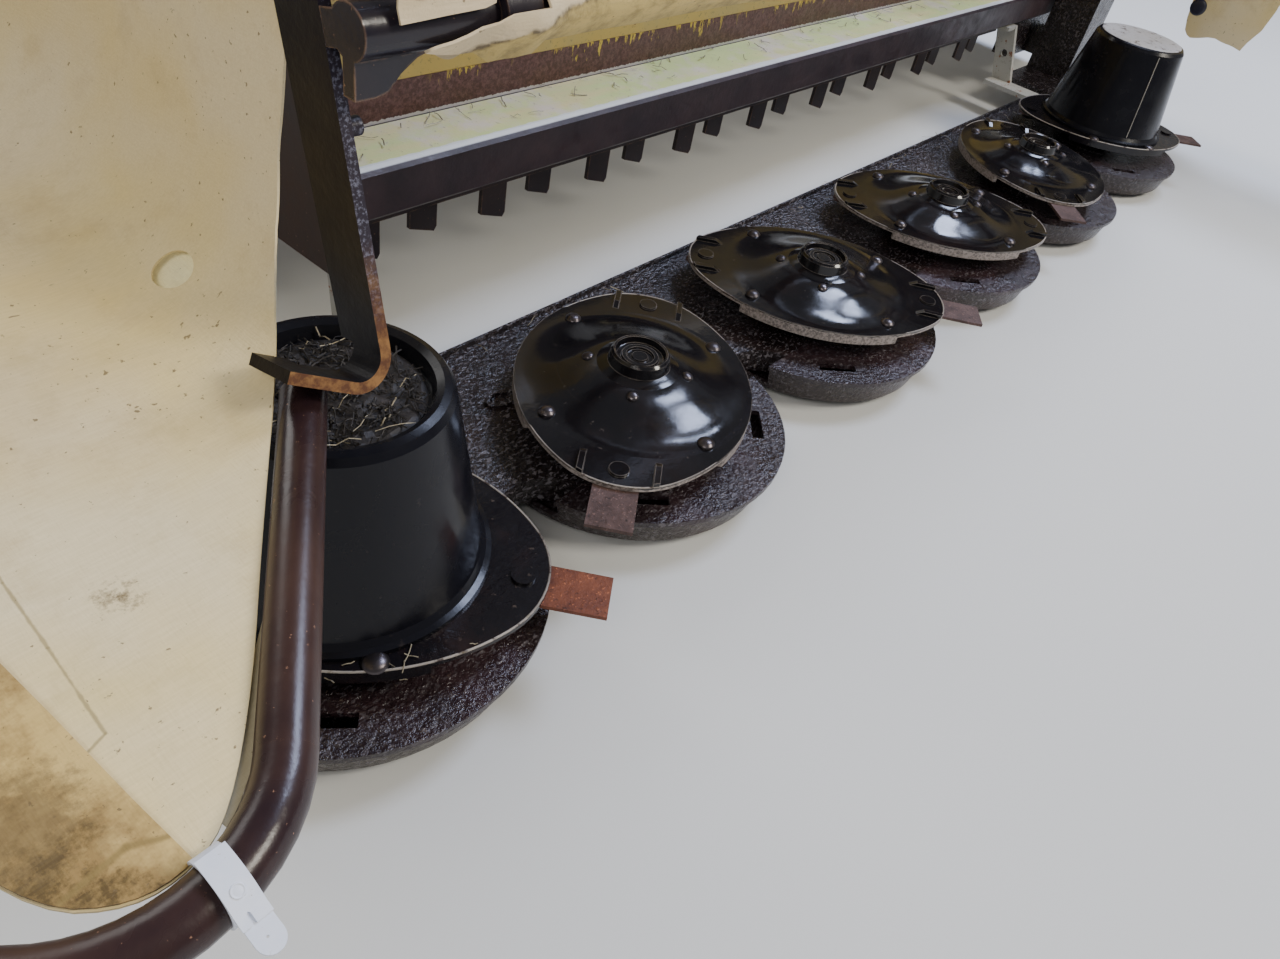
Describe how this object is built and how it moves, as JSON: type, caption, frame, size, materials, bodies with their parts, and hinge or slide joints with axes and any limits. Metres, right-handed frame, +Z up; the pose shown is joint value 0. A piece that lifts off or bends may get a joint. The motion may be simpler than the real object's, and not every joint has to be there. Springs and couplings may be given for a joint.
{
  "type": "disc mower conditioner",
  "caption": "Towed machine that cuts grass with spinning oval discs and knives, conditions it with a tined rotor under a hood and lays it in a swath.",
  "frame": {"origin": "middle of the floor area that the machine covers, at ground level", "axes": "+X to the machine's right, +Y forward towards the hitch, +Z up"},
  "size_m": [3.1388, 4.9675, 1.131],
  "materials": {
    "bar_steel": "oily black, pitted, with mud and worn edges",
    "disc_steel": "dark worn steel with rust specks",
    "knife_steel": "rusty brown with ground edges",
    "cream_paint": "aged cream yellow, stained",
    "brown_paint": "rust brown, streaked",
    "tube_paint": "dark brown, glossy, with rust spots",
    "canvas": "coated cloth, dusty with brown stains",
    "strap": "off-white webbing",
    "bare_steel": "ground steel",
    "zinc": "dull galvanised",
    "drum_black": "glossy black, with a bluish sheen and dust in the dished top",
    "zinc_plate": "dull galvanised plate with rust at its edges",
    "rim_paint": "aged cream",
    "tyre": "dusty black rubber"
  },
  "bodies": {
    "frame": {"cutterbar": "bar_steel", "skid_shoes": "bar_steel", "bar_brackets": "zinc_plate", "cross_beam": "cream_paint", "crop_comb": "bar_steel", "side_plates": "brown_paint", "hood": "cream_paint", "main_frame": "brown_paint", "drive_housing": "bar_steel", "gearbox": "tube_paint", "guard_tube": "tube_paint", "guard_hanger": "tube_paint", "guard_hoop": "tube_paint", "side_canvas": "canvas", "canvas_straps": "strap", "far_canvas": "canvas", "hinge_flap": "canvas", "lift_barrel": "tube_paint", "swing_barrel": "tube_paint"},
    "rotor_1": {"near_drum": "drum_black", "near_disc": "disc_steel", "knives_1": "knife_steel"},
    "rotor_2": {"disc_2": "disc_steel", "knives_2": "knife_steel"},
    "rotor_3": {"disc_3": "disc_steel", "knives_3": "knife_steel"},
    "rotor_4": {"disc_4": "disc_steel", "knives_4": "knife_steel"},
    "rotor_5": {"disc_5": "disc_steel", "knives_5": "knife_steel"},
    "rotor_6": {"far_drum": "drum_black", "far_disc": "disc_steel", "knives_6": "knife_steel"},
    "conditioner": {"tine_rotor": "disc_steel"},
    "input": {"input_shaft": "bare_steel"},
    "board_near": {"swath_board_near": "brown_paint"},
    "board_far": {"swath_board_far": "brown_paint"},
    "front_guard": {"front_guard_frame": "tube_paint", "front_curtain": "canvas"},
    "lift_axle": {"axle": "brown_paint"},
    "wheel_near": {"rim_near": "rim_paint", "tyre_near": "tyre"},
    "wheel_far": {"rim_far": "rim_paint", "tyre_far": "tyre"},
    "lift_piston": {"lift_rod": "bare_steel"},
    "tongue": {"drawbar": "brown_paint", "hitch_eye": "tube_paint", "jack_sleeve": "brown_paint"},
    "swing_piston": {"swing_rod": "bare_steel"},
    "jack": {"jack_leg": "zinc"}
  },
  "joints": [
    {"name": "rotor_1_spin", "type": "hinge", "parent": "frame", "child": "rotor_1", "pos_m": [1.1709, -0.46375, 0.06], "axis": [0, 0, 1], "continuous": true},
    {"name": "rotor_2_spin", "type": "hinge", "parent": "frame", "child": "rotor_2", "pos_m": [0.7709, -0.46375, 0.06], "axis": [0, 0, 1], "continuous": true},
    {"name": "rotor_3_spin", "type": "hinge", "parent": "frame", "child": "rotor_3", "pos_m": [0.3709, -0.46375, 0.06], "axis": [0, 0, 1], "continuous": true},
    {"name": "rotor_4_spin", "type": "hinge", "parent": "frame", "child": "rotor_4", "pos_m": [-0.0291, -0.46375, 0.06], "axis": [0, 0, 1], "continuous": true},
    {"name": "rotor_5_spin", "type": "hinge", "parent": "frame", "child": "rotor_5", "pos_m": [-0.4291, -0.46375, 0.06], "axis": [0, 0, 1], "continuous": true},
    {"name": "rotor_6_spin", "type": "hinge", "parent": "frame", "child": "rotor_6", "pos_m": [-0.8291, -0.46375, 0.06], "axis": [0, 0, 1], "continuous": true},
    {"name": "tine_spin", "type": "hinge", "parent": "frame", "child": "conditioner", "pos_m": [-0.2641, -1.14375, 0.43], "axis": [1, 0, 0], "continuous": true},
    {"name": "input_spin", "type": "hinge", "parent": "frame", "child": "input", "pos_m": [-1.1891, -0.56875, 0.7], "axis": [0, 1, 0], "continuous": true},
    {"name": "board_near_swing", "type": "hinge", "parent": "frame", "child": "board_near", "pos_m": [0.5509, -1.48375, 0.43], "axis": [0, 0, 1], "range_deg": [-16, 12]},
    {"name": "board_far_swing", "type": "hinge", "parent": "frame", "child": "board_far", "pos_m": [-1.0741, -1.48375, 0.43], "axis": [0, 0, 1], "range_deg": [-12, 16]},
    {"name": "front_guard_fold", "type": "hinge", "parent": "frame", "child": "front_guard", "pos_m": [0.0959, -0.39775, 0.556], "axis": [1, 0, 0], "range_deg": [-90, 0]},
    {"name": "axle_lift", "type": "hinge", "parent": "frame", "child": "lift_axle", "pos_m": [-0.2641, -1.56375, 0.7], "axis": [1, 0, 0], "range_deg": [0, 45]},
    {"name": "wheel_near_spin", "type": "hinge", "parent": "lift_axle", "child": "wheel_near", "pos_m": [0.8109, -2.10375, 0.38], "axis": [1, 0, 0], "continuous": true},
    {"name": "wheel_far_spin", "type": "hinge", "parent": "lift_axle", "child": "wheel_far", "pos_m": [-1.3391, -2.10375, 0.38], "axis": [1, 0, 0], "continuous": true},
    {"name": "lift_piston_slide", "type": "slide", "parent": "frame", "child": "lift_piston", "axis": [0, -1, 0], "range_m": [0, 0.156]},
    {"name": "tongue_swing", "type": "hinge", "parent": "frame", "child": "tongue", "pos_m": [-1.3891, -0.91375, 0.985], "axis": [0, 0, 1], "range_deg": [-18, 8]},
    {"name": "swing_piston_slide", "type": "slide", "parent": "frame", "child": "swing_piston", "axis": [-1, 0, 0], "range_m": [-0.03, 0.065]},
    {"name": "jack_slide", "type": "slide", "parent": "tongue", "child": "jack", "axis": [0, 0, 1], "range_m": [0, 0.28]}
  ],
  "couplings": [
    {"joint": "rotor_2_spin", "follows": "rotor_1_spin", "ratio": 1},
    {"joint": "rotor_3_spin", "follows": "rotor_1_spin", "ratio": 1},
    {"joint": "rotor_4_spin", "follows": "rotor_1_spin", "ratio": -1},
    {"joint": "rotor_5_spin", "follows": "rotor_1_spin", "ratio": -1},
    {"joint": "rotor_6_spin", "follows": "rotor_1_spin", "ratio": -1},
    {"joint": "tine_spin", "follows": "rotor_1_spin", "ratio": 0.3},
    {"joint": "input_spin", "follows": "rotor_1_spin", "ratio": 0.3333},
    {"joint": "lift_piston_slide", "follows": "axle_lift", "m_per_rad": 0.1932},
    {"joint": "swing_piston_slide", "follows": "tongue_swing", "m_per_rad": -0.197}
  ]
}
